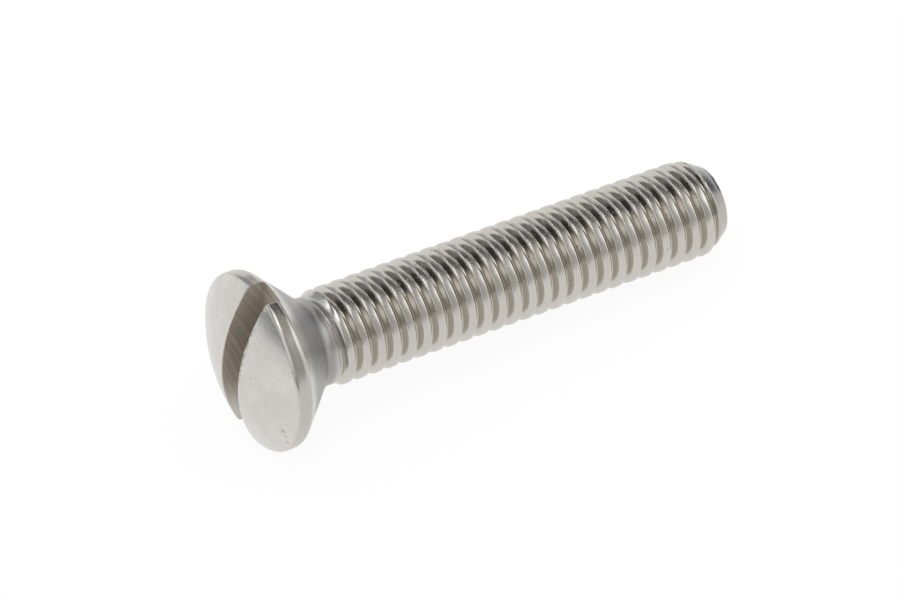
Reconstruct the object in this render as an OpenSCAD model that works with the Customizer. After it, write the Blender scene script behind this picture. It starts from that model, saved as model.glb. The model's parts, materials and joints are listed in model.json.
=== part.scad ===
// Slotted machine screw with a raised countersunk head, threaded along its whole shank.
// It is drawn along its own axis, with the front of the head's band at zero and the tip up,
// and is then laid on its side the way it comes to rest: on the two corners that the slot
// leaves at the band, and on the last full crest of the thread. The thread is fine, so the
// shank has the diameter over its crests.

/* [Head] */
// Diameter of the head across its straight band
head_d = 10.7; // [9.5:0.1:12]
// Height of the dome above the band
dome_h = 1.5; // [1:0.1:2]
// Height of the straight band between the dome and the cone
band_h = 0.8; // [0.4:0.1:1.2]
// Angle between the two sides of the countersunk cone
cone_angle = 90; // [80:1:100]

/* [Slot] */
// Width of the driver's slot
slot_w = 1.8; // [1.2:0.1:2.4]
// Depth of the slot below the top of the dome
slot_depth = 2.5; // [2:0.1:3]

/* [Shank] */
// Length from the front of the band to the tip
length = 30.4; // [16:0.1:40]
// Diameter of the plain neck under the head
neck_d = 5.3; // [5:0.1:5.5]
// Length of the plain neck between the cone's fillet and the thread
neck_l = 0.3; // [0.1:0.1:3]
// Radius of the fillet between the cone and the neck
neck_fillet = 1; // [0.4:0.1:1.6]
// Diameter over the crests of the thread
thread_d = 5.8; // [5.7:0.01:6]
// Length over which the crests rise from the neck
runout_l = 0.6; // [0.3:0.1:2]
// Diameter of the flat end
tip_d = 4.3; // [3:0.1:4.6]
// Length of the taper at the tip
tip_l = 1.2; // [0.6:0.1:2]

/* [Hidden] */
$fn = 96;
head_r = head_d / 2;
neck_r = neck_d / 2;
crest_r = thread_d / 2;
tip_r = tip_d / 2;
// The dome is the cap of a ball that meets the band's front edge.
dome_r = (head_r * head_r + dome_h * dome_h) / (2 * dome_h);
// The fillet's circle touches both the cone and the neck.
cone_half = cone_angle / 2;
cone_end = band_h + (head_r - neck_r) / tan(cone_half);
fillet_reach = neck_fillet * tan(cone_half / 2);
fillet_centre = [neck_r + neck_fillet, cone_end + fillet_reach];
fillet_on_cone = [neck_r + fillet_reach * sin(cone_half), cone_end - fillet_reach * cos(cone_half)];
neck_end = fillet_centre.y + neck_l;
thread_start = neck_end + runout_l;
tip_start = length - tip_l;
slot_floor = slot_depth - dome_h;
// The slot stands upright, so the head rests on the two corners that the slot leaves.
corner_r = sqrt(head_r * head_r - slot_w * slot_w / 4);
rest_tilt = atan((corner_r - crest_r) / (tip_start - band_h));
// Reach of the lying screw behind and before the band's front, and the axis's height there
dome_slice_r = sqrt(dome_r * dome_r - slot_w * slot_w / 4);
reach_back = (dome_r - dome_h) * cos(rest_tilt) - dome_slice_r;
reach_front = length * cos(rest_tilt) + tip_r * sin(rest_tilt);
axis_h = band_h * sin(rest_tilt) + corner_r * cos(rest_tilt);
// Overlap that keeps a cut clear of the face it goes through
cut = 1;

// The dome as half a section: the ball's circle, cut to the head's radius and run into the band
module dome_section() {
    intersection() {
        translate([0, dome_r - dome_h]) circle(r = dome_r);
        translate([0, -dome_h]) square([head_r, dome_h + band_h]);
    }
}

// Band, cone, neck, run-out, crests and tapered tip as half a section. The fillet is cut by a
// circle round a corner of the outline, so that it touches both the cone and the neck.
module shank_section() {
    difference() {
        polygon([
            [0, 0],
            [head_r, 0],
            [head_r, band_h],
            fillet_on_cone,
            fillet_centre,
            [neck_r, fillet_centre.y],
            [neck_r, neck_end],
            [crest_r, thread_start],
            [crest_r, tip_start],
            [tip_r, length],
            [0, length]
        ]);
        translate(fillet_centre) circle(r = neck_fillet);
    }
}

// The blank, revolved round its own axis
module blank() {
    rotate_extrude() {
        dome_section();
        shank_section();
    }
}

// The slot, sawn straight across the head
module slot() {
    translate([-head_r - cut, -slot_w / 2, -dome_h - cut])
        cube([head_d + 2 * cut, slot_w, slot_floor + dome_h + cut]);
}

// The whole screw, laid down with its slot upright
module screw() {
    color([0.62, 0.6, 0.57])
        translate([-(reach_front + reach_back) / 2, 0, axis_h])
            rotate([0, 90 + rest_tilt, 0])
                difference() {
                    blank();
                    slot();
                }
}

screw();
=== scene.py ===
# %% [markdown]
# # A slotted machine screw
#
# This scene dresses one small steel part: a machine screw with a raised countersunk head, a
# sawn slot and a rolled thread. It lies on its side, as such a screw does when it is put down.
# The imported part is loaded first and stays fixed. Everything below is worked out from it and
# from the sizes of the screw, in millimetres, and turned into metres only when a mesh is made.

# %% Load the fixed part
import json

import bmesh
import bpy
import numpy as np
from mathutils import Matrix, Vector


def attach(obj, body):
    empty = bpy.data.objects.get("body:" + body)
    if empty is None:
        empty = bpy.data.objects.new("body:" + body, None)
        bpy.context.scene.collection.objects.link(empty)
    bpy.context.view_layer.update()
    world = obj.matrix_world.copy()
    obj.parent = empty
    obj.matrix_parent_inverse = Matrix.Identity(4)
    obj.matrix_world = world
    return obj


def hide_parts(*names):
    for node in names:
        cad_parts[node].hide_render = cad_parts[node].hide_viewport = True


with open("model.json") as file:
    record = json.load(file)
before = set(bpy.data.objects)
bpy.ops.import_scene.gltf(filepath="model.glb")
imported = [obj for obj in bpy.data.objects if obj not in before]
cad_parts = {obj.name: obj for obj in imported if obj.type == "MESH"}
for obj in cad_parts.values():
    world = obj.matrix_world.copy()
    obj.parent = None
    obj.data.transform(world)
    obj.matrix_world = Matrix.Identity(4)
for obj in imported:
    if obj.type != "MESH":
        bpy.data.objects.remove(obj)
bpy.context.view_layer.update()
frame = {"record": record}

# %% [markdown]
# ## Sizes
#
# A maker's drawing gives every size of a screw along its own axis, and so does this scene. The
# place along the axis is `s`: zero at the front of the head's band, negative in the dome and
# positive towards the tip. Across it, `x` runs along the slot and `y` across the slot. The sizes
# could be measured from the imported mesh, but plain numbers can be read and changed. Those in
# the first cell are the solid's. The thread's profile, in the second cell, is this scene's own,
# because the solid has a plain cylinder over the crests in its place.

# %% Sizes of the solid in millimetres
MM = 0.001
HEAD_R = 5.35
DOME_H = 1.5
BAND_H = 0.8
SLOT_HALF = 0.9
SLOT_DEPTH = 2.5
LENGTH = 30.4
NECK_R = 2.65
NECK_L = 0.3
NECK_FILLET = 1.0
CREST_R = 2.9
RUNOUT_L = 0.6
TIP_R = 2.15
TIP_L = 1.2

DOME_R = (HEAD_R**2 + DOME_H**2) / (2 * DOME_H)  # the dome is the cap of this ball
DOME_CENTRE = DOME_R - DOME_H
SLOT_FLOOR = SLOT_DEPTH - DOME_H
CONE_SLOPE = 1.0  # the cone narrows by this much radius for each step along the axis
CONE_END = BAND_H + (HEAD_R - NECK_R) / CONE_SLOPE
FILLET_S = CONE_END + NECK_FILLET * np.tan(np.pi / 8)  # place of the fillet's centre
NECK_END = FILLET_S + NECK_L
TIP_START = LENGTH - TIP_L
print("ball of the dome:", round(DOME_R, 2), "mm, the neck ends at", round(float(NECK_END), 2), "mm")

# %% Sizes of the thread in millimetres
PITCH = 1.0
THREAD_DEPTH = 0.47
CREST_W = 0.43
CROWN = 0.012  # how much lower the crest is at its edges than in its middle
GROOVE_START = 3.25  # where the first groove begins, on the fillet
GROOVE_L = 0.7  # length over which the grooves reach their depth
CREST_PLACE = TIP_START - 0.02  # the last crest crosses the underside here, where the taper starts
TURNS = 27  # whole turns between the first row of the thread's grid and the last crest
print("turns from the cone to the last crest:", TURNS)

# %% [markdown]
# ## Where the screw lies
#
# A screw that is put down rests on its head and its last crest, so its axis falls a little
# towards the tip. The object could be moved and turned, but the export puts every object at the
# origin, so each point is placed by itself. The part's record says where its interfaces are:
# the thread's axis gives the direction, and the middle of the slot's floor gives a point on it.
# The slot stands upright, so `x` points down and `y` stays level.

# %% From the screw's own axes to the shared frame
mounts = {mount["name"]: mount for mount in frame["record"]["mounts"]}
axis_dir = np.array(mounts["thread"]["axis"])
axis_dir = axis_dir / np.linalg.norm(axis_dir)
across_dir = np.array([0.0, 1.0, 0.0])
down_dir = np.cross(across_dir, axis_dir)
band_front = np.array(mounts["drive_slot"]["pos_m"]) - axis_dir * SLOT_FLOOR * MM


def place(x, y, s):
    """Point = front of the band + x times down + y times across + s times the axis, in metres."""
    local = np.stack(np.broadcast_arrays(x, y, s), axis=-1) * MM
    return band_front + local @ np.stack([down_dir, across_dir, axis_dir])


print("axis falls by", round(float(np.degrees(np.arcsin(-axis_dir[2]))), 2), "degrees")

# %% [markdown]
# ## The columns that the whole screw shares
#
# A revolved part is a grid whose rows go round it and whose columns run along it. The slot cuts
# this head in two halves. It could be cut out with a Boolean modifier, which leaves long thin
# faces along the cut, and those spoil the reflections of bright metal. So the columns are
# spread over each half by itself, with a few more across each end of the slot, and the two
# outer columns of a half run exactly along the slot's edge. The same columns go on down to the
# tip, and nothing has to be cut or stitched.

# %% Angles of the columns
HALF_COLUMNS = 52
SLOT_COLUMNS = 6


def half_angles(radius):
    """Angles over one half: even steps from the slot's edge, whose sine is half width / radius."""
    edge = np.arcsin(SLOT_HALF / radius)
    return np.linspace(edge, np.pi - edge, HALF_COLUMNS + 1)


def end_angles(radius):
    """Angles across one end of the slot, without the two that belong to the halves."""
    edge = np.arcsin(SLOT_HALF / radius)
    return np.linspace(np.pi - edge, np.pi + edge, SLOT_COLUMNS + 1)[1:-1]


def ring_angles(radius):
    """The full ring: one half, one end of the slot, and both again half a turn on."""
    half_ring = np.concatenate([half_angles(radius), end_angles(radius)])
    return np.concatenate([half_ring, half_ring + np.pi])


print("columns round the screw:", len(ring_angles(HEAD_R)))

# %% [markdown]
# ## The outline of the head
#
# A pressed and tumbled head has no knife edges: the dome rolls over into the band, and the band
# into the cone. A Bevel modifier could round these edges, but the slot's are sharper, so each
# kind would have to be picked out by hand. It is simpler to replace each corner of the outline
# by a small arc that touches both of its sides, before anything is turned round the axis.

# %% Arcs and even steps
def dome_s(x, y):
    """Place of the dome's surface: its ball's centre less the root of R squared - x squared - y squared."""
    return DOME_CENTRE - np.sqrt(np.maximum(DOME_R**2 - x**2 - y**2, 0.0))


def rounded(points, radii, steps):
    """Replaces each inner corner by an arc: from the corner, go back radius * tan(half the turn) on
    both sides, and swing between the two from the centre where their normals meet."""
    out = [points[:1]]
    for before, corner, after, radius, count in zip(points, points[1:], points[2:], radii, steps):
        u = (before - corner) / np.linalg.norm(before - corner)
        v = (after - corner) / np.linalg.norm(after - corner)
        half_open = np.arccos(np.clip(u @ v, -1, 1)) / 2
        start, end = corner + u * radius / np.tan(half_open), corner + v * radius / np.tan(half_open)
        centre = corner + (u + v) / np.linalg.norm(u + v) * radius / np.sin(half_open)
        turn = np.linspace(0, 1, count)[:, None]
        sweep = np.pi - 2 * half_open
        a, b = start - centre, end - centre
        out.append(centre + (a * np.sin((1 - turn) * sweep) + b * np.sin(turn * sweep)) / np.sin(sweep))
    out.append(points[-1:])
    return np.concatenate(out)


def subdivided(outline, longest):
    """The outline with straight stretches cut into even steps no longer than a given length."""
    parts = [outline[:1]]
    for a, b in zip(outline, outline[1:]):
        count = max(1, int(np.ceil(np.linalg.norm(b - a) / longest)))
        parts.append(a + (b - a) * np.linspace(0, 1, count + 1)[1:, None])
    return np.concatenate(parts)


print("top of the dome at", round(float(dome_s(0, 0)), 2), "mm")

# %% [markdown]
# The outline comes in two stretches. The upper one runs from the dome to the level of the
# slot's floor, where the head is in two halves. The lower one is the plain cone below the floor,
# down to the place where the rows of the thread begin.

# %% The two stretches of the outline
RIM_ROUND, RIM_STEPS = 0.34, 10
BAND_ROUND, BAND_STEPS = 0.5, 8
UPPER_STEP, LOWER_STEP = 0.1, 0.12
DOME_TRIM = 0.25  # the dome's grid stops this far inside the band, where the rolled edge begins
band_r = HEAD_R - 0.006  # tumbling takes a hair off the band
trim_r = HEAD_R - DOME_TRIM
floor_r = band_r - (SLOT_FLOOR - BAND_H) * CONE_SLOPE
slot_end_angle = np.arcsin(SLOT_HALF / floor_r)
shank_s = CREST_PLACE - TURNS * PITCH + slot_end_angle / (2 * np.pi) * PITCH

rim_start = [trim_r, dome_s(trim_r, 0)]
rim_corner = [band_r, dome_s(band_r, 0)]
corners = np.array([rim_start, rim_corner, [band_r, BAND_H], [floor_r, SLOT_FLOOR]])
upper_outline = subdivided(rounded(corners, [RIM_ROUND, BAND_ROUND], [RIM_STEPS, BAND_STEPS]), UPPER_STEP)
cone_sides = np.array([[floor_r, SLOT_FLOOR], [NECK_R + CONE_END - shank_s, shank_s]])
lower_outline = subdivided(cone_sides, LOWER_STEP)
print("outline points above and below the slot's floor:", len(upper_outline), len(lower_outline))

# %% [markdown]
# ## Small unevenness
#
# A tumbled steel part is never perfectly round, and the saw leaves a ragged burr along the
# slot's edge. Both could be left to a bump in the material, but a burr shows in the outline of
# the edge. A sum of a few waves with fixed phases lowers the shank's surface by up to about a
# hundredth of a millimetre, which is enough to bend its reflections as the real ones bend. The
# burr is a sum of sines of rising rate, of which only the peaks are kept.

# %% Waves and burr
rng = np.random.default_rng(7)
WAVES = 14
wave_turns = rng.integers(1, 9, WAVES)
wave_along = rng.uniform(-1.9, 1.9, WAVES)
wave_phase = rng.uniform(0, 2 * np.pi, WAVES)
BURR_PHASES = rng.uniform(0, 2 * np.pi, 6)
BURR_RATES = np.array([7.0, 11.0, 17.0, 23.0, 31.0, 43.0])
BURR_MIDDLE, BURR_SPREAD = -1.8, 1.7  # where along the slot the burr is worst, and how far it goes


def unevenness(angle, s):
    """Sum of cosines of (whole turns * angle + twice a rate * s + phase), scaled to about one."""
    waves = np.cos(angle[..., None] * wave_turns + s[..., None] * wave_along * 2 + wave_phase)
    return waves.sum(axis=-1) / np.sqrt(WAVES)


def burr(x):
    """Sum of sines of (rate * x + phase) where it is positive, times a bell curve over the middle."""
    ragged = np.sin(x[..., None] * BURR_RATES + BURR_PHASES).sum(axis=-1) / 3
    return np.maximum(ragged, 0) * np.exp(-((x - BURR_MIDDLE) / BURR_SPREAD) ** 2)


print("largest burr along the slot:", round(float(burr(np.linspace(-HEAD_R, HEAD_R, 200)).max()), 2))

# %% [markdown]
# ## The dome and the slot's edge
#
# The dome is pressed, and the slot is sawn through it, which leaves two thin edges. A grid of
# rings round the axis would be cut by the slot at a slant. Here each half of the dome is a grid
# whose columns run straight from the slot's edge to the rim, at a constant `x`. They shrink to
# nothing at the two ends of the slot, where the real part has a corner too. A few more rows
# round the edge, and the near edge carries the burr.

# %% The dome in two halves
EDGE_ROUND = 0.05
EDGE_ROWS = 4
DOME_ROWS = 34
BURR_SIZE = 0.06
BURR_LIFT = 0.3  # share of the burr that also stands up from the dome
BURR_FADE = 6  # power by which the burr dies away across the dome


def slot_edge(near):
    """For each column: its x, the way from the slot to the rim, and the sizes of the edge's arc and
    burr. Only the half that is near the camera has the burr."""
    x = trim_r * np.cos(half_angles(trim_r))
    reach = np.sqrt(trim_r**2 - x**2) - SLOT_HALF
    size = EDGE_ROUND * np.minimum(1, np.maximum(reach, 0) / (4 * EDGE_ROUND))
    ragged = BURR_SIZE * burr(x) * np.minimum(1, reach) if near else np.zeros_like(x)
    return x, reach, size, ragged


def dome_half(near):
    """Rows from the wall's top over a quarter circle and across the dome to the rim, at constant x."""
    x, reach, size, ragged = slot_edge(near)
    swing = np.linspace(0, np.pi / 2, EDGE_ROWS + 1)[:-1, None]
    edge_y = SLOT_HALF - ragged + size * (1 - np.cos(swing))
    edge_s = dome_s(x, SLOT_HALF + size) + size * (1 - np.sin(swing)) - BURR_LIFT * ragged
    share = np.linspace(0, 1, DOME_ROWS + 1)[:, None]
    dome_y = SLOT_HALF + size - ragged * (1 - share) ** BURR_FADE + (reach - size) * share
    y = np.concatenate([edge_y, dome_y])
    s = np.concatenate([edge_s, dome_s(x, dome_y)])
    return np.broadcast_to(x, y.shape), y, s


print("grid of half the dome:", dome_half(True)[1].shape)

# %% [markdown]
# ## The slot's walls and floor
#
# A saw cuts two flat walls and a flat floor. They could be three plain rectangles, but then
# their edges wouldn't meet the head's round outline point for point. So the walls take the
# dome's columns and narrow or widen with the outline, and the floor joins the two walls in the
# same columns.

# %% Walls and floor
WALL_LEAN = 8  # power by which the wall bends out to the burr, close to its top


def slot_wall(near):
    """Rows from the slot's floor to the dome's edge: x = share of the column * root of (outline's
    radius squared - half width squared), and s climbs with the outline."""
    x, y_top, s_top = (grid[0] for grid in dome_half(near))
    share_x = x / x[0]
    radius, place_s = upper_outline[::-1].T
    reach_x = np.sqrt(radius**2 - SLOT_HALF**2)[:, None]
    climb = ((SLOT_FLOOR - place_s) / (SLOT_FLOOR - place_s[-1]))[:, None]
    y = SLOT_HALF + (y_top - SLOT_HALF) * climb**WALL_LEAN
    return share_x * reach_x, y, SLOT_FLOOR + (s_top - SLOT_FLOOR) * climb


def slot_floor():
    """Rows across the slot: x = share of the column * root of (radius squared - y squared)."""
    share_x = np.cos(half_angles(trim_r)) / np.cos(half_angles(trim_r)[0])  # as in the walls
    y = floor_r * np.sin(np.linspace(-1, 1, SLOT_COLUMNS + 1) * slot_end_angle)[:, None]
    return share_x * np.sqrt(floor_r**2 - y**2), np.broadcast_to(y, (len(y), HALF_COLUMNS + 1)), SLOT_FLOOR


print("grids of a wall and of the floor:", slot_wall(True)[0].shape, slot_floor()[0].shape)

# %% [markdown]
# ## The band and the cone
#
# The rim, the band and the countersunk cone are one turned outline. A Screw modifier could spin
# it, but it would space its columns evenly and miss the slot's edge. So the outline is turned
# through the columns' own angles: half a turn at a time above the slot's floor, and right
# round below it.

# %% Band and cone
def band_half():
    """Rows of the upper outline, turned through the angles of one half at each radius."""
    angle = np.stack([half_angles(radius) for radius in upper_outline[:, 0]])
    radius, place_s = upper_outline[:, :1], upper_outline[:, 1:]
    return radius * np.cos(angle), radius * np.sin(angle), np.broadcast_to(place_s, angle.shape)


def lower_head():
    """Rows of the lower outline, turned through the full ring with one step more to close it."""
    angle = ring_angles(floor_r)
    angle = np.append(angle, angle[0] + 2 * np.pi)
    radius, place_s = lower_outline[:, :1], lower_outline[:, 1:]
    return radius * np.cos(angle), radius * np.sin(angle), np.broadcast_to(place_s, (len(radius), len(angle)))


print("grids of half the band and of the cone:", band_half()[0].shape, lower_head()[0].shape)

# %% [markdown]
# ## The profile of the thread
#
# The thread is rolled: hard dies press a groove into the plain shank, and the metal rises
# between its turns into crests. It could be a bump in the material, but its crests show in the
# outline and its flanks mirror each other, so it has to be real shape. Its profile is worked
# out as a radius at each distance from the nearest crest. Every corner is softened with one
# small function, because worn metal has no corner without a bright line along it.

# %% Height of the thread
FLANK_TAN = np.tan(np.radians(28))
CREST_SOFT = 0.06
ROOT_SOFT = 0.04
ROLL_SOFT = 0.03  # between the blank and the grooves
DIES_CLEAR, DIES_CLEAR_L = 3, 0.3  # on the cone the dies stand this far off, over this length


def soft_least(a, b, width):
    """The smaller of two values with a round corner: half of a + b, less half the root of
    ((a - b) squared + width squared)."""
    return (a + b - np.sqrt((a - b) ** 2 + width**2)) / 2


def smooth(share):
    """A smooth rise from 0 to 1: share squared times (3 - 2 share)."""
    share = np.clip(share, 0, 1)
    return share * share * (3 - 2 * share)


def blank_radius(s):
    """Radius before the thread is rolled: the larger of the cone's line and the fillet's circle, plus
    the rise from the neck to the crests."""
    into = np.clip(FILLET_S - s, 0, NECK_FILLET * np.sin(np.pi / 4))
    fillet = NECK_R + NECK_FILLET - np.sqrt(NECK_FILLET**2 - into**2)
    cone = NECK_R + (CONE_END - s) * CONE_SLOPE
    swell = (CREST_R - NECK_R) * smooth((s - NECK_END) / RUNOUT_L)
    return np.maximum(fillet, cone) + swell


def thread_radius(offset, s):
    """Radius at a signed distance from the nearest crest: the lesser of a shallow parabola over the
    crest and a line at the flank's angle, but not below the root. The depth grows with the share
    that is pressed, and the blank is the limit."""
    share = np.abs(offset) / (CREST_W / 2)
    crowned = CREST_R - CROWN * share**2
    flank = CREST_R - CROWN - (share - 1) * (CREST_W / 2) / FLANK_TAN
    below = soft_least(crowned, flank, CREST_SOFT)
    full = -soft_least(-below, np.full_like(flank, THREAD_DEPTH - CREST_R), ROOT_SOFT)
    beyond = DIES_CLEAR * smooth((GROOVE_START - s) / DIES_CLEAR_L)
    pressed = smooth((s - GROOVE_START) / GROOVE_L)
    grooved = CREST_R + beyond - (CREST_R - full) * pressed
    return soft_least(blank_radius(s), grooved, ROLL_SOFT * pressed)


def tip_radius(s):
    """Radius of the taper: a straight line from the crests to the flat end."""
    return CREST_R - (s - TIP_START) * (CREST_R - TIP_R) / TIP_L


middle_s = np.full(2, LENGTH / 2)
print("radius of a crest and of a root:", thread_radius(np.array([0, PITCH / 2]), middle_s).round(3))

# %% [markdown]
# ## The rows of the thread
#
# If the rows of the grid went straight round, they would cut across the crests and leave them
# jagged, unless there were ten times as many. So the rows climb with the thread: each is a turn
# of the helix, and after one turn a row meets the row that lies one pitch further on. They lie
# closest where the profile bends. Between the cone's last row and the first turn lies a wedge
# that opens from nothing to a whole pitch. Past the tip the rows run over the edge and spiral in
# to the centre of the flat end, where they meet in a point and are welded.

# %% Rows of the thread
ROW_OFFSETS = np.array([0, 0.08, 0.14, 0.175, 0.2, 0.225, 0.25, 0.31, 0.37, 0.41, 0.435, 0.465])
row_places = np.concatenate([ROW_OFFSETS, [0.5], 1 - ROW_OFFSETS[:0:-1]]) * PITCH
ROWS_PER_TURN = len(row_places)
thread_angles = ring_angles(floor_r)
thread_turns = int(np.ceil((LENGTH + PITCH - shank_s) / PITCH)) + 1
row_s = (shank_s + PITCH * np.arange(thread_turns)[:, None] + row_places).ravel()
thread_s = row_s[:, None] + (thread_angles - thread_angles[0]) / (2 * np.pi) * PITCH
wedge_angles = np.append(thread_angles, thread_angles[0] + 2 * np.pi)
opening = (wedge_angles - wedge_angles[0]) / (2 * np.pi)
wedge_s = shank_s + np.append(row_places, PITCH)[:, None] * opening
print("rows in a turn:", ROWS_PER_TURN, "rows in all:", len(row_s))

# %% Radius of the shank
TIP_SOFT, TIP_SOFT_L = 0.12, 2  # the corner of the taper, and the length over which it grows soft
UNEVEN, UNEVEN_FROM, UNEVEN_MOST = 0.004, 1.8, -3  # the waves only ever take metal away
UNEVEN_START_L = 0.6
SPIRAL_L = 0.9 * PITCH


def screw_radius(angle, s):
    """Radius of the whole shank: the thread, cut softly by the taper, and past the end a share of it
    that falls to nothing, which makes the flat end."""
    offset = (s - CREST_PLACE - angle / (2 * np.pi) * PITCH + PITCH / 2) % PITCH - PITCH / 2
    corner_width = TIP_SOFT * smooth((s - TIP_START + TIP_SOFT_L) / TIP_SOFT_L)
    cut_r = soft_least(thread_radius(offset, s), tip_radius(np.minimum(s, LENGTH)), corner_width)
    waves = (unevenness(angle, s) - UNEVEN_FROM).clip(UNEVEN_MOST, 0)
    worn = UNEVEN * waves * smooth((s - shank_s) / UNEVEN_START_L)
    spiral_in = np.clip(1 - np.maximum(s - LENGTH, 0) / SPIRAL_L, 0, 1)
    return (cut_r + worn) * spiral_in


wedge_r = screw_radius(np.broadcast_to(wedge_angles, wedge_s.shape), wedge_s)
thread_r = screw_radius(np.broadcast_to(thread_angles, thread_s.shape), thread_s)
print("thread rows and columns:", thread_r.shape, "largest radius:", round(float(thread_r.max()), 3))

# %% [markdown]
# ## One closed mesh
#
# The real screw is one piece of wire, so it is one closed skin. The grids could stay objects of
# their own, but then light would leak at their edges and the printed shape would have gaps. All
# grids go into one list of points and faces. Where two grids meet they have the same points, so
# welding the doubles closes the skin. The thread's seam is closed by hand: its last column
# meets the first one, a turn further on.

# %% Points and faces
points, faces = [], []


def add_grid(x, y, s):
    """Adds a grid of points and the quads between neighbours. Returns the numbers of its points."""
    grid = place(x, y, s)
    first = sum(len(block) for block in points)
    rows, columns = grid.shape[:2]
    number = first + np.arange(rows * columns).reshape(rows, columns)
    quads = np.stack([number[:-1, :-1], number[:-1, 1:], number[1:, 1:], number[1:, :-1]], axis=-1)
    points.append(grid.reshape(-1, 3))
    faces.extend(quads.reshape(-1, 4).tolist())
    return number


for sign in (1, -1):
    near = sign < 0
    for x, y, s in (dome_half(near), slot_wall(near), band_half()):
        add_grid(x * sign, y * sign, s)
add_grid(*slot_floor())
add_grid(*lower_head())
add_grid(wedge_r * np.cos(wedge_angles), wedge_r * np.sin(wedge_angles), wedge_s)
flat_s = np.minimum(thread_s, LENGTH)
numbers = add_grid(thread_r * np.cos(thread_angles), thread_r * np.sin(thread_angles), flat_s)
seam_a, seam_b = numbers[:-ROWS_PER_TURN, -1], numbers[ROWS_PER_TURN:, 0]
faces.extend(np.stack([seam_a[:-1], seam_b[:-1], seam_b[1:], seam_a[1:]], axis=-1).tolist())
print("points:", sum(len(block) for block in points), "faces:", len(faces))

# %% Weld and check the skin
WELD = 2e-7  # metres
CREASE = 40  # degrees; sharper edges, such as the slot's floor, keep their corner in the shading
mesh = bpy.data.meshes.new("machine_screw")
mesh.from_pydata(np.concatenate(points), [], faces)
work = bmesh.new()
work.from_mesh(mesh)
bmesh.ops.remove_doubles(work, verts=work.verts, dist=WELD)
bmesh.ops.dissolve_degenerate(work, edges=work.edges, dist=WELD / 2)
bmesh.ops.recalc_face_normals(work, faces=work.faces)
open_edges = sum(not edge.is_manifold for edge in work.edges)
volume = work.calc_volume(signed=True) / MM**3
work.to_mesh(mesh)
work.free()
mesh.shade_smooth()
mesh.set_sharp_from_angle(angle=np.radians(CREASE))
screw = bpy.data.objects.new("machine_screw", mesh)
bpy.context.scene.collection.objects.link(screw)
triangles = sum(len(polygon.vertices) - 2 for polygon in mesh.polygons)
print("triangles:", triangles, "open edges:", open_edges, "volume mm3:", round(volume, 1))

# %% [markdown]
# ## Writing shader maths
#
# A finish is worked out by nodes. A long chain of Math nodes is hard to read in the editor and
# longer still in a script, so a small class wraps a socket and lets Python's operators add the
# nodes. Every other kind of node comes from one method, which sets its settings first and then
# fills its sockets with numbers or links.

# %% Shader helper
class Value:
    """One output socket. +, -, * and ** with numbers or other values add Math nodes."""

    def __init__(self, graph, socket):
        self.graph, self.socket = graph, socket

    def maths(self, operation, *others):
        return self.graph.node("ShaderNodeMath", {"operation": operation}, dict(enumerate((self, *others))))

    def __add__(self, other):
        return self.maths("ADD", other)

    def __sub__(self, other):
        return self.maths("SUBTRACT", other)

    def __rsub__(self, other):
        return self.graph.node("ShaderNodeMath", {"operation": "SUBTRACT"}, {0: other, 1: self})

    def __mul__(self, other):
        return self.maths("MULTIPLY", other)

    def __pow__(self, other):
        return self.maths("POWER", other)

    __radd__, __rmul__ = __add__, __mul__

    def clamp(self):
        return self.graph.node("ShaderNodeClamp", {}, {"Value": self})

    def step(self, low, high):
        """0 below low, 1 above high and a smooth curve between them."""
        ends = {"Value": self, "From Min": low, "From Max": high}
        return self.graph.node("ShaderNodeMapRange", {"interpolation_type": "SMOOTHSTEP"}, ends)


class Graph:
    """The nodes of one material or world."""

    def __init__(self, owner):
        owner.use_nodes = True
        self.tree = owner.node_tree
        self.tree.nodes.clear()

    def node(self, kind, settings=None, inputs=None, out=0):
        """Adds a node, sets its settings first, then fills its sockets with numbers or links."""
        node = self.tree.nodes.new(kind)
        for name, setting in (settings or {}).items():
            setattr(node, name, setting)
        for name, value in (inputs or {}).items():
            if isinstance(value, Value):
                self.tree.links.new(value.socket, node.inputs[name])
            else:
                node.inputs[name].default_value = value
        return Value(self, node.outputs[out]) if len(node.outputs) else None

    def mix(self, factor, a, b):
        """Mixes two colours, given as values or as three numbers. Sockets 6 and 7 are the colours."""
        a, b = (colour if isinstance(colour, Value) else (*colour, 1) for colour in (a, b))
        return self.node("ShaderNodeMix", {"data_type": "RGBA"}, {0: factor, 6: a, 7: b}, out=2)

    def noise(self, vector, scale, detail, roughness):
        """Fractal noise with a value near a half, at so many waves for each unit of the vector."""
        inputs = {"Vector": vector, "Scale": scale, "Detail": detail, "Roughness": roughness}
        return self.node("ShaderNodeTexNoise", {"noise_dimensions": "3D"}, inputs)


print("shader helper ready")

# %% [markdown]
# ## The steel
#
# The screw is stainless steel, tumbled to a satin. Nothing is painted, so almost all of its look
# is reflection. What changes over the surface is how rough it is, a faint mottling, the shade
# that grime and oil leave in the slot and in the grooves, and the saw's marks. A picture could
# carry all this, but it would need an unwrapped surface and would blur close up. The patterns
# here read the screw's own axes instead: a dot product of the object coordinates with each
# direction gives `x`, `y` and `s` in millimetres, the same three that the shapes use.

# %% The screw's own axes in the material
steel = bpy.data.materials.new("steel")
g = Graph(steel)
coords = g.node("ShaderNodeTexCoord", out="Object")


def along(direction):
    """Millimetres along a direction from the front of the band: the dot product of the direction with
    the object coordinates, less the same of the band's front."""
    inputs = {0: coords, 1: tuple(direction)}
    dot = g.node("ShaderNodeVectorMath", {"operation": "DOT_PRODUCT"}, inputs, out="Value")
    return (dot - float(band_front @ direction)) * (1 / MM)


x, y, s = along(down_dir), along(across_dir), along(axis_dir)
own = g.node("ShaderNodeCombineXYZ", {}, {"X": x, "Y": y, "Z": s})
radius = (x * x + y * y) ** 0.5
print("nodes for the axes:", len(g.tree.nodes))

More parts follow.
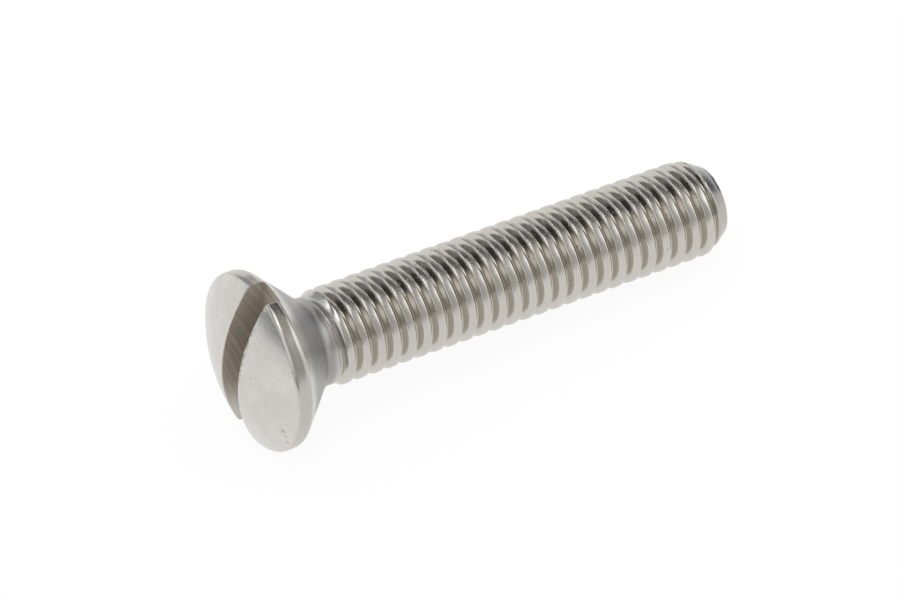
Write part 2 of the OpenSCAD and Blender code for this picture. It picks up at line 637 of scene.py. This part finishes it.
# %% [markdown]
# ### Where each finish lies
#
# Each tool leaves its own finish: the saw in the slot, the press on the head, the rolling dies
# on the thread. These zones could be separate materials on separate faces, with a hard line
# between them. Masks that run smoothly from 0 to 1 let the finishes fade into each other: over
# a few hundredths of a millimetre at the slot, and over half a millimetre or more elsewhere.

# %% Masks
between_walls = 1 - y.maths("ABSOLUTE").step(SLOT_HALF + 0.01, SLOT_HALF + 0.04)
in_slot = between_walls * (1 - s.step(SLOT_FLOOR + 0.02, SLOT_FLOOR + 0.08))
on_band = s.step(-0.1, 0.12) * (1 - s.step(BAND_H, BAND_H + 0.3))
under_head = s.step(0.9, 1.9) * (1 - s.step(3.7, 4.5))
on_thread = s.step(NECK_END, NECK_END + RUNOUT_L)
groove = (1 - radius.step(CREST_R - THREAD_DEPTH, CREST_R - 0.04)) * on_thread
crest = radius.step(CREST_R - 0.06, CREST_R - 0.01) * on_thread
on_taper = s.step(TIP_START + 0.15, TIP_START + 0.55)
print("nodes with the masks:", len(g.tree.nodes))

# %% [markdown]
# ### Clouds, grain, pits and saw marks
#
# Tumbling in a drum leaves a fine grain, faint clouds and a few pits. The round blade of the
# saw leaves arcs in the slot, all round one centre far above the head. Noise on the distance
# from that centre, stretched thin, gives such arcs, where a wave texture would repeat itself
# too evenly.

# %% Patterns
cloud = g.noise(own, 0.55, 4.0, 0.6)
grain = g.noise(own, 9.0, 3.0, 0.65)
pits = g.noise(own, 3.4, 2.0, 0.5).step(0.69, 0.76)

SAW_X, SAW_S = 9.0, -21.0  # centre of the saw's arcs
SAW_LINES = 9.0  # marks for each millimetre away from that centre
saw_ring = ((x - SAW_X) ** 2 + (s - SAW_S) ** 2) ** 0.5
saw_vector = g.node("ShaderNodeCombineXYZ", {}, {"X": saw_ring * SAW_LINES, "Y": x * 0.25, "Z": y * 0.5})
saw_marks = g.noise(saw_vector, 1.0, 4.0, 0.7)
print("nodes with the patterns:", len(g.tree.nodes))

# %% [markdown]
# ### Colour
#
# Bare metal takes its colour from the metal and from the thin films on it. One flat colour
# would look like new chrome. The base is mottled between two greys and then pulled towards a
# tone of its own in each zone: painted shade under the head, a darker tip with painted shade
# on its upper side, warmer oil with painted shade in the grooves, and brown in the slot with
# painted light on its lower end.

# %% Tones of the metal
STEEL = (0.585, 0.565, 0.535)
PALE = (0.69, 0.67, 0.64)
PAINTED_SHADE = (0.36, 0.355, 0.35)
GROOVE_OIL_AND_SHADE = (0.46, 0.425, 0.36)
THREAD_TONE = (0.55, 0.52, 0.47)
TIP_DARK_AND_SHADE = (0.24, 0.24, 0.25)
SLOT_TONE = (0.42, 0.372, 0.315)
SAWN_TONE = (0.56, 0.51, 0.45)
BAND_TONE = (0.45, 0.425, 0.375)
DARK = (0.16, 0.14, 0.12)

mottle = (0.5 * cloud.step(0.35, 0.65) + 0.5 * grain.step(0.3, 0.7)).clamp()
tone = g.mix(mottle, STEEL, PALE)
# painted shade: the cone and neck under the head are pulled towards a cool dark grey, for the shade and dark
# reflections there
tone = g.mix((under_head * (0.75 + 0.4 * cloud)).clamp(), tone, PAINTED_SHADE)
tone = g.mix(on_thread * 0.6, tone, THREAD_TONE)
# warmer and darker in the grooves: partly oil, partly painted shade and bounced light in the recesses
tone = g.mix((groove * (0.1 + 0.5 * cloud)).clamp(), tone, GROOVE_OIL_AND_SHADE)
# painted shade: the taper is darkened in clouds, and its upper side almost to dark grey, standing in for a
# dark reflection there
painted_shade_on_top = 1 - x.step(-2.6, -1.2)
tone = g.mix(on_taper * (0.1 + 0.3 * cloud + 0.7 * painted_shade_on_top).clamp(), tone, TIP_DARK_AND_SHADE)
tone = g.mix(on_band * (0.35 + 0.45 * cloud), tone, BAND_TONE)
sawn = g.mix(saw_marks.step(0.38, 0.66), SLOT_TONE, SAWN_TONE)
sawn = g.mix(x.step(1.0, 4.4) * 0.75, sawn, PALE)  # painted light: the lower end of the slot is made pale, where its wall catches the light
tone = g.mix(in_slot, tone, sawn)
tone = g.mix(pits * 0.3, tone, DARK)
print("nodes with the colour:", len(g.tree.nodes))

# %% [markdown]
# ### Nicks and dents
#
# The near edge of the slot is nicked, and there are three small dents low on the dome. They are
# too small to be worth more faces in the mesh, so the colour and the bump carry them. The nicks
# are noise, kept to a narrow strip just below the dome's surface along the slot's edge. The
# dents are soft spots round three chosen points.

# %% Nicks and dents
NICK_X = -1.8  # the middle of the nicks along the slot
DENTS = ((1.4, -4.4, 0.2), (1.75, -4.5, 0.13), (2.25, -4.55, 0.16))  # x, y and radius of each

nick_noise = g.noise(own, 3.6, 2.0, 0.6)
past_edge = y + SLOT_HALF
depth = DOME_R - (radius**2 + (s - DOME_CENTRE) ** 2) ** 0.5  # below the dome's ball
near_edge = past_edge.step(-0.28, -0.03) * (1 - past_edge.step(-0.01, 0.04))
near_edge = near_edge * (1 - depth.step(0.06, 0.14)) * (1 - s.step(-0.3, 0.1))
nicks = near_edge * nick_noise.step(0.47, 0.54) * (1 - (x - NICK_X).maths("ABSOLUTE").step(1.2, 2.2))
on_dome = 1 - s.step(0.1, 0.4)
for dent_x, dent_y, dent_r in DENTS:
    reach = ((x - dent_x) ** 2 + (y - dent_y) ** 2) ** 0.5 + 0.12 * (nick_noise - 0.5)
    nicks = nicks.maths("MAXIMUM", 0.65 * (1 - reach.step(0.1 * dent_r, dent_r)) * on_dome)
tone = g.mix(nicks * 0.8, tone, DARK)
print("dents:", len(DENTS), "nodes:", len(g.tree.nodes))

# %% [markdown]
# ### Roughness and relief
#
# How blurred the reflections are says more about a metal than its colour. The dies leave the
# thread smoother than the tumbled head, the crests are scuffed, and the sawn slot is roughest.
# The finest marks are only some thousandths of a millimetre deep, so they are left to a bump.
# The slot is half dulled by oil, so it is only half metallic.

# %% Surface
rough = 0.25 + 0.10 * (grain - 0.5) + 0.10 * (cloud - 0.5)
rough = rough + in_slot * 0.16 - on_thread * 0.08 + crest * 0.14 + under_head * 0.12

# heights in millimetres
relief = grain * 0.0035 + cloud * 0.008 - pits * 0.009 - nicks * 0.02 + in_slot * saw_marks * 0.014
bump = g.node("ShaderNodeBump", {}, {"Strength": 1.0, "Distance": MM, "Height": relief}, out="Normal")
inputs = {"Base Color": tone, "Metallic": 1 - in_slot * 0.5, "Roughness": rough, "Normal": bump}
surface = g.node("ShaderNodeBsdfPrincipled", {}, inputs)
g.node("ShaderNodeOutputMaterial", {}, {"Surface": surface})
mesh.materials.append(steel)
print("nodes of the steel:", len(g.tree.nodes))

# %% [markdown]
# ## The floor and the world
#
# The photograph is a plain product shot on white. More light would whiten the paper, but it
# would bleach the screw as well. Instead the floor is a large pale sheet whose colour is helped
# to white for the camera and for reflections. The part of it that isn't helped keeps a soft
# shadow. Above the horizon the world is plain white.

# %% Floor
FLOOR_HALF = 1.5
WHITENED = 0.92  # share of the floor's look that is plain white


def sheet_object(name, corners):
    """A flat four-sided sheet from its corners, in metres."""
    sheet_mesh = bpy.data.meshes.new(name)
    sheet_mesh.from_pydata(corners, [], [(0, 1, 2, 3)])
    sheet = bpy.data.objects.new(name, sheet_mesh)
    bpy.context.scene.collection.objects.link(sheet)
    return sheet


signs = ((-1, -1), (1, -1), (1, 1), (-1, 1))
floor = sheet_object("floor", [(a * FLOOR_HALF, b * FLOOR_HALF, 0) for a, b in signs])
paper = bpy.data.materials.new("paper")
g = Graph(paper)
seen = g.node("ShaderNodeLightPath", out="Is Camera Ray") + g.node("ShaderNodeLightPath", out="Is Glossy Ray")
seen = (seen + g.node("ShaderNodeLightPath", out="Is Transmission Ray")).clamp()
pale = g.node("ShaderNodeBsdfDiffuse", {}, {"Color": (0.92, 0.92, 0.915, 1)})
white = g.node("ShaderNodeEmission", {}, {"Color": (1, 1, 1, 1), "Strength": 1.0})
blend = g.node("ShaderNodeMixShader", {}, {0: seen * WHITENED, 1: pale, 2: white})
g.node("ShaderNodeOutputMaterial", {}, {"Surface": blend})
floor.data.materials.append(paper)
print("floor:", 2 * FLOOR_HALF, "m square")

# %% World
world = bpy.data.worlds.new("studio")
bpy.context.scene.world = world
g = Graph(world)
sky = g.node("ShaderNodeBackground", {}, {"Color": (1, 1, 1, 1), "Strength": 1.0})
g.node("ShaderNodeOutputWorld", {}, {"Surface": sky})
print("world:", world.name)

# %% [markdown]
# ## The studio round the screw
#
# Bright steel shows whatever stands round it, so the studio matters more than the material. A
# photographer puts up grey and black cards, and the metal mirrors them as soft dark bands. Each
# card here fills a stretch of directions, seen from the screw: the black one draws the dark
# patches on the upper flanks of the thread, the grey ones the top of the dome, the band and the
# neck. The camera doesn't see them, and they cast no light on the floor. The same bands could
# be painted in the world's colour, but cards can be moved one at a time.

# %% Cards
def direction(azimuth, elevation):
    """Unit vector from angles in degrees: azimuth from +X towards +Y, elevation above the floor."""
    a, e = np.radians(azimuth), np.radians(elevation)
    return np.array([np.cos(a) * np.cos(e), np.sin(a) * np.cos(e), np.sin(e)])


def card(name, azimuths, elevations, distance, tone):
    """A card of an even tone that fills the directions between two azimuths and two elevations."""
    (a, b), (low, high) = azimuths, elevations
    corners = [direction(*angles) * distance for angles in ((a, low), (b, low), (b, high), (a, high))]
    piece = sheet_object(name, [tuple(corner) for corner in corners])
    piece.visible_camera = piece.visible_diffuse = False
    material = bpy.data.materials.new(name)
    graph = Graph(material)
    # The card glows with its own even tone, though it is no lamp: painted light for a card that the studio
    # would light, which the metal mirrors.
    glow = graph.node("ShaderNodeEmission", {}, {"Color": (*tone, 1), "Strength": 1.0})
    graph.node("ShaderNodeOutputMaterial", {}, {"Surface": glow})
    piece.data.materials.append(material)


# name, azimuths, elevations, distance in metres, tone
CARDS = (
    ("black_card", (2, 64), (32, 68), 0.45, (0.045, 0.046, 0.054)),
    ("upper_card", (-60, 2), (48, 76), 0.45, (0.42, 0.42, 0.41)),
    ("top_card", (64, 182), (44, 80), 0.45, (0.245, 0.25, 0.27)),
    ("mid_card", (-126, -44), (5, 66), 0.5, (0.5, 0.5, 0.49)),
    ("horizon_card", (138, 186), (1, 14), 0.42, (0.3, 0.31, 0.32)),
    ("back_card", (64, 112), (6, 44), 0.5, (0.41, 0.42, 0.445)),
    ("far_card", (112, 150), (10, 44), 0.5, (0.71, 0.72, 0.74)),
    ("left_card", (150, 190), (8, 44), 0.5, (0.58, 0.58, 0.57)),
    ("tip_card", (4, 38), (0.5, 19), 0.4, (0.13, 0.135, 0.16)),
    ("low_card", (-170, -100), (0.5, 9), 0.4, (0.2, 0.2, 0.19)),
)
for row in CARDS:
    card(*row)
print("cards:", len(CARDS))

# %% [markdown]
# Two square lights finish the studio. The one overhead gives the shadow its direction, and the
# weak one at the side lifts the crests. Small lamps would leave hard white dots on the metal.

# %% Lights
def softbox(name, azimuth, elevation, distance, size, power):
    """A square light that faces the screw."""
    light = bpy.data.lights.new(name, "AREA")
    light.shape, light.size, light.energy = "SQUARE", size, power
    lamp = bpy.data.objects.new(name, light)
    lamp.location = Vector(direction(azimuth, elevation) * distance)
    lamp.rotation_mode = "QUATERNION"
    lamp.rotation_quaternion = Vector(-direction(azimuth, elevation)).to_track_quat("-Z", "Y")
    bpy.context.scene.collection.objects.link(lamp)
    print("light:", name, power, "W")


softbox("side", -24, 33, 0.6, 0.3, 0.2)
softbox("overhead", 100, 80, 0.6, 0.5, 1.2)

# %% [markdown]
# ## The camera
#
# A small part is photographed from far off with a long lens, so that its near end isn't
# swollen. The direction, distance and lens could be tried by hand. Here they come from fitting
# the outline of the head, the shank and the thread's crests in the photograph to this model.

# %% Camera
CAMERA_AZIMUTH = -30.6
CAMERA_ELEVATION = 45.6
CAMERA_DISTANCE = 0.61125
AIM = Vector((-0.001496, 0, 0.003659))
LENS, SENSOR = 428.0, 36.0
turn, tilt = np.radians(CAMERA_AZIMUTH), np.radians(CAMERA_ELEVATION)
back = Vector((np.sin(turn) * np.cos(tilt), -np.cos(turn) * np.cos(tilt), np.sin(tilt)))
camera_data = bpy.data.cameras.new("camera")
camera_data.lens, camera_data.sensor_width = LENS, SENSOR
camera_data.clip_start, camera_data.clip_end = 0.01, 10.0
camera = bpy.data.objects.new("camera", camera_data)
camera.location = AIM + back * CAMERA_DISTANCE
camera.rotation_mode = "QUATERNION"
camera.rotation_quaternion = (-back).to_track_quat("-Z", "Y")
bpy.context.scene.collection.objects.link(camera)
bpy.context.scene.camera = camera
bpy.context.scene.view_settings.view_transform = "Standard"
print("camera at", [round(value, 3) for value in camera.location])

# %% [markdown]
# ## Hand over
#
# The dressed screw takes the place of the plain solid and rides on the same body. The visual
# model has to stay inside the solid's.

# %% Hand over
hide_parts("screw")
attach(screw, "root")
